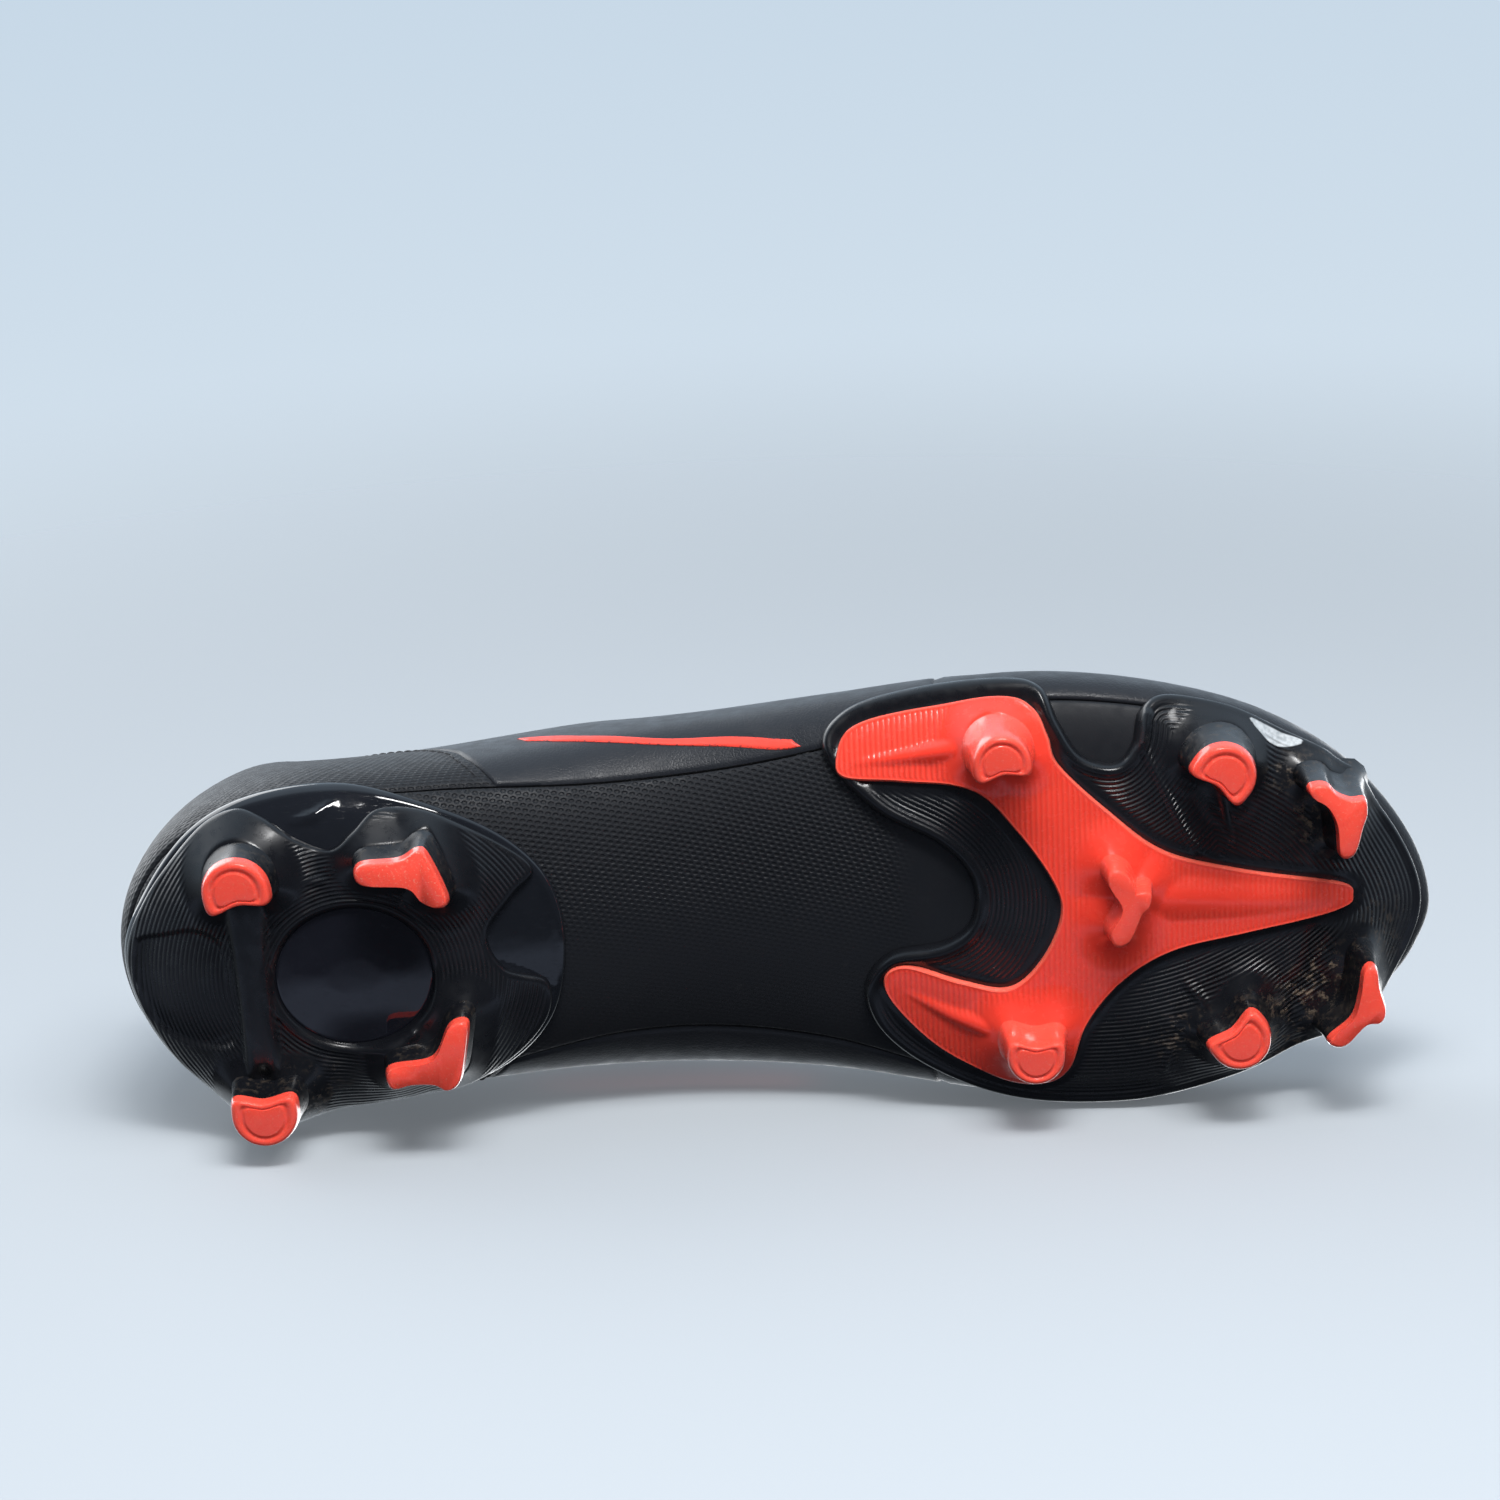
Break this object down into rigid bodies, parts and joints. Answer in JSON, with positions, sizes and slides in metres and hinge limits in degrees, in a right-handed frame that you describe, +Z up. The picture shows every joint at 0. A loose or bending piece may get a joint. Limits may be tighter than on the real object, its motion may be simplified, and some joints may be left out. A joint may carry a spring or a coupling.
{
  "type": "soccer cleat",
  "caption": "Right-foot soccer cleat: black upper with knit collar and tongue, ribbed heel and forefoot plates, red chevron plate and red-tipped bladed and round studs, removable sockliner.",
  "frame": {"origin": "centre of the bounding box on the ground, at the level of the stud tips", "axes": "+X from heel to toe, +Y to the medial (inner) side of the right foot, +Z up"},
  "size_m": [0.2897, 0.0974, 0.1072],
  "materials": {
    "heel_base_gloss": "polished",
    "heel_plate_ribbed": "finely ribbed, satin",
    "window_gloss": "polished",
    "forefoot_plate_gloss": "finely ribbed, with a polished rim",
    "chevron_crimson": "finely ribbed, gloss",
    "stud_tip_crimson": "gloss",
    "wrap_textile": "embossed textile",
    "upper_synthetic": "smooth synthetic",
    "eyestay_film": "matt film",
    "stripe_crimson": "satin film",
    "knit": "ribbed knit",
    "board": "non-woven",
    "sockliner_foam": "textile on foam",
    "stiffener": "matt"
  },
  "bodies": {
    "shoe": {"heel_base": "heel_base_gloss", "heel_plate": "heel_plate_ribbed", "heel_window": "window_gloss", "forefoot_plate": "forefoot_plate_gloss", "chevron_plate": "chevron_crimson", "heel_lateral_rear_tip": "stud_tip_crimson", "heel_medial_rear_tip": "stud_tip_crimson", "heel_lateral_front_tip": "stud_tip_crimson", "heel_medial_front_tip": "stud_tip_crimson", "forefoot_lateral_mid_tip": "stud_tip_crimson", "forefoot_medial_mid_tip": "stud_tip_crimson", "forefoot_lateral_front_tip": "stud_tip_crimson", "forefoot_medial_front_tip": "stud_tip_crimson", "underfoot_wrap": "wrap_textile", "heel_quarter": "wrap_textile", "lateral_quarter": "upper_synthetic", "medial_quarter": "upper_synthetic", "vamp": "upper_synthetic", "lateral_eyestay": "eyestay_film", "medial_eyestay": "eyestay_film", "lateral_stripe": "stripe_crimson", "medial_stripe": "stripe_crimson", "knit_collar": "knit", "strobel_board": "board", "heel_counter": "stiffener", "toe_puff": "stiffener"},
    "sockliner": {"sockliner": "sockliner_foam"},
    "tongue": {"tongue": "knit"}
  },
  "joints": [
    {"name": "sockliner_lift", "type": "hinge", "parent": "shoe", "child": "sockliner", "pos_m": [0.1275, 0.0045, 0.027], "axis": [0, 1, 0], "range_deg": [0, 8]},
    {"name": "tongue_drop", "type": "hinge", "parent": "shoe", "child": "tongue", "pos_m": [0.054, 0.0005, 0.055], "axis": [0, -1, 0], "range_deg": [0, 14]}
  ]
}
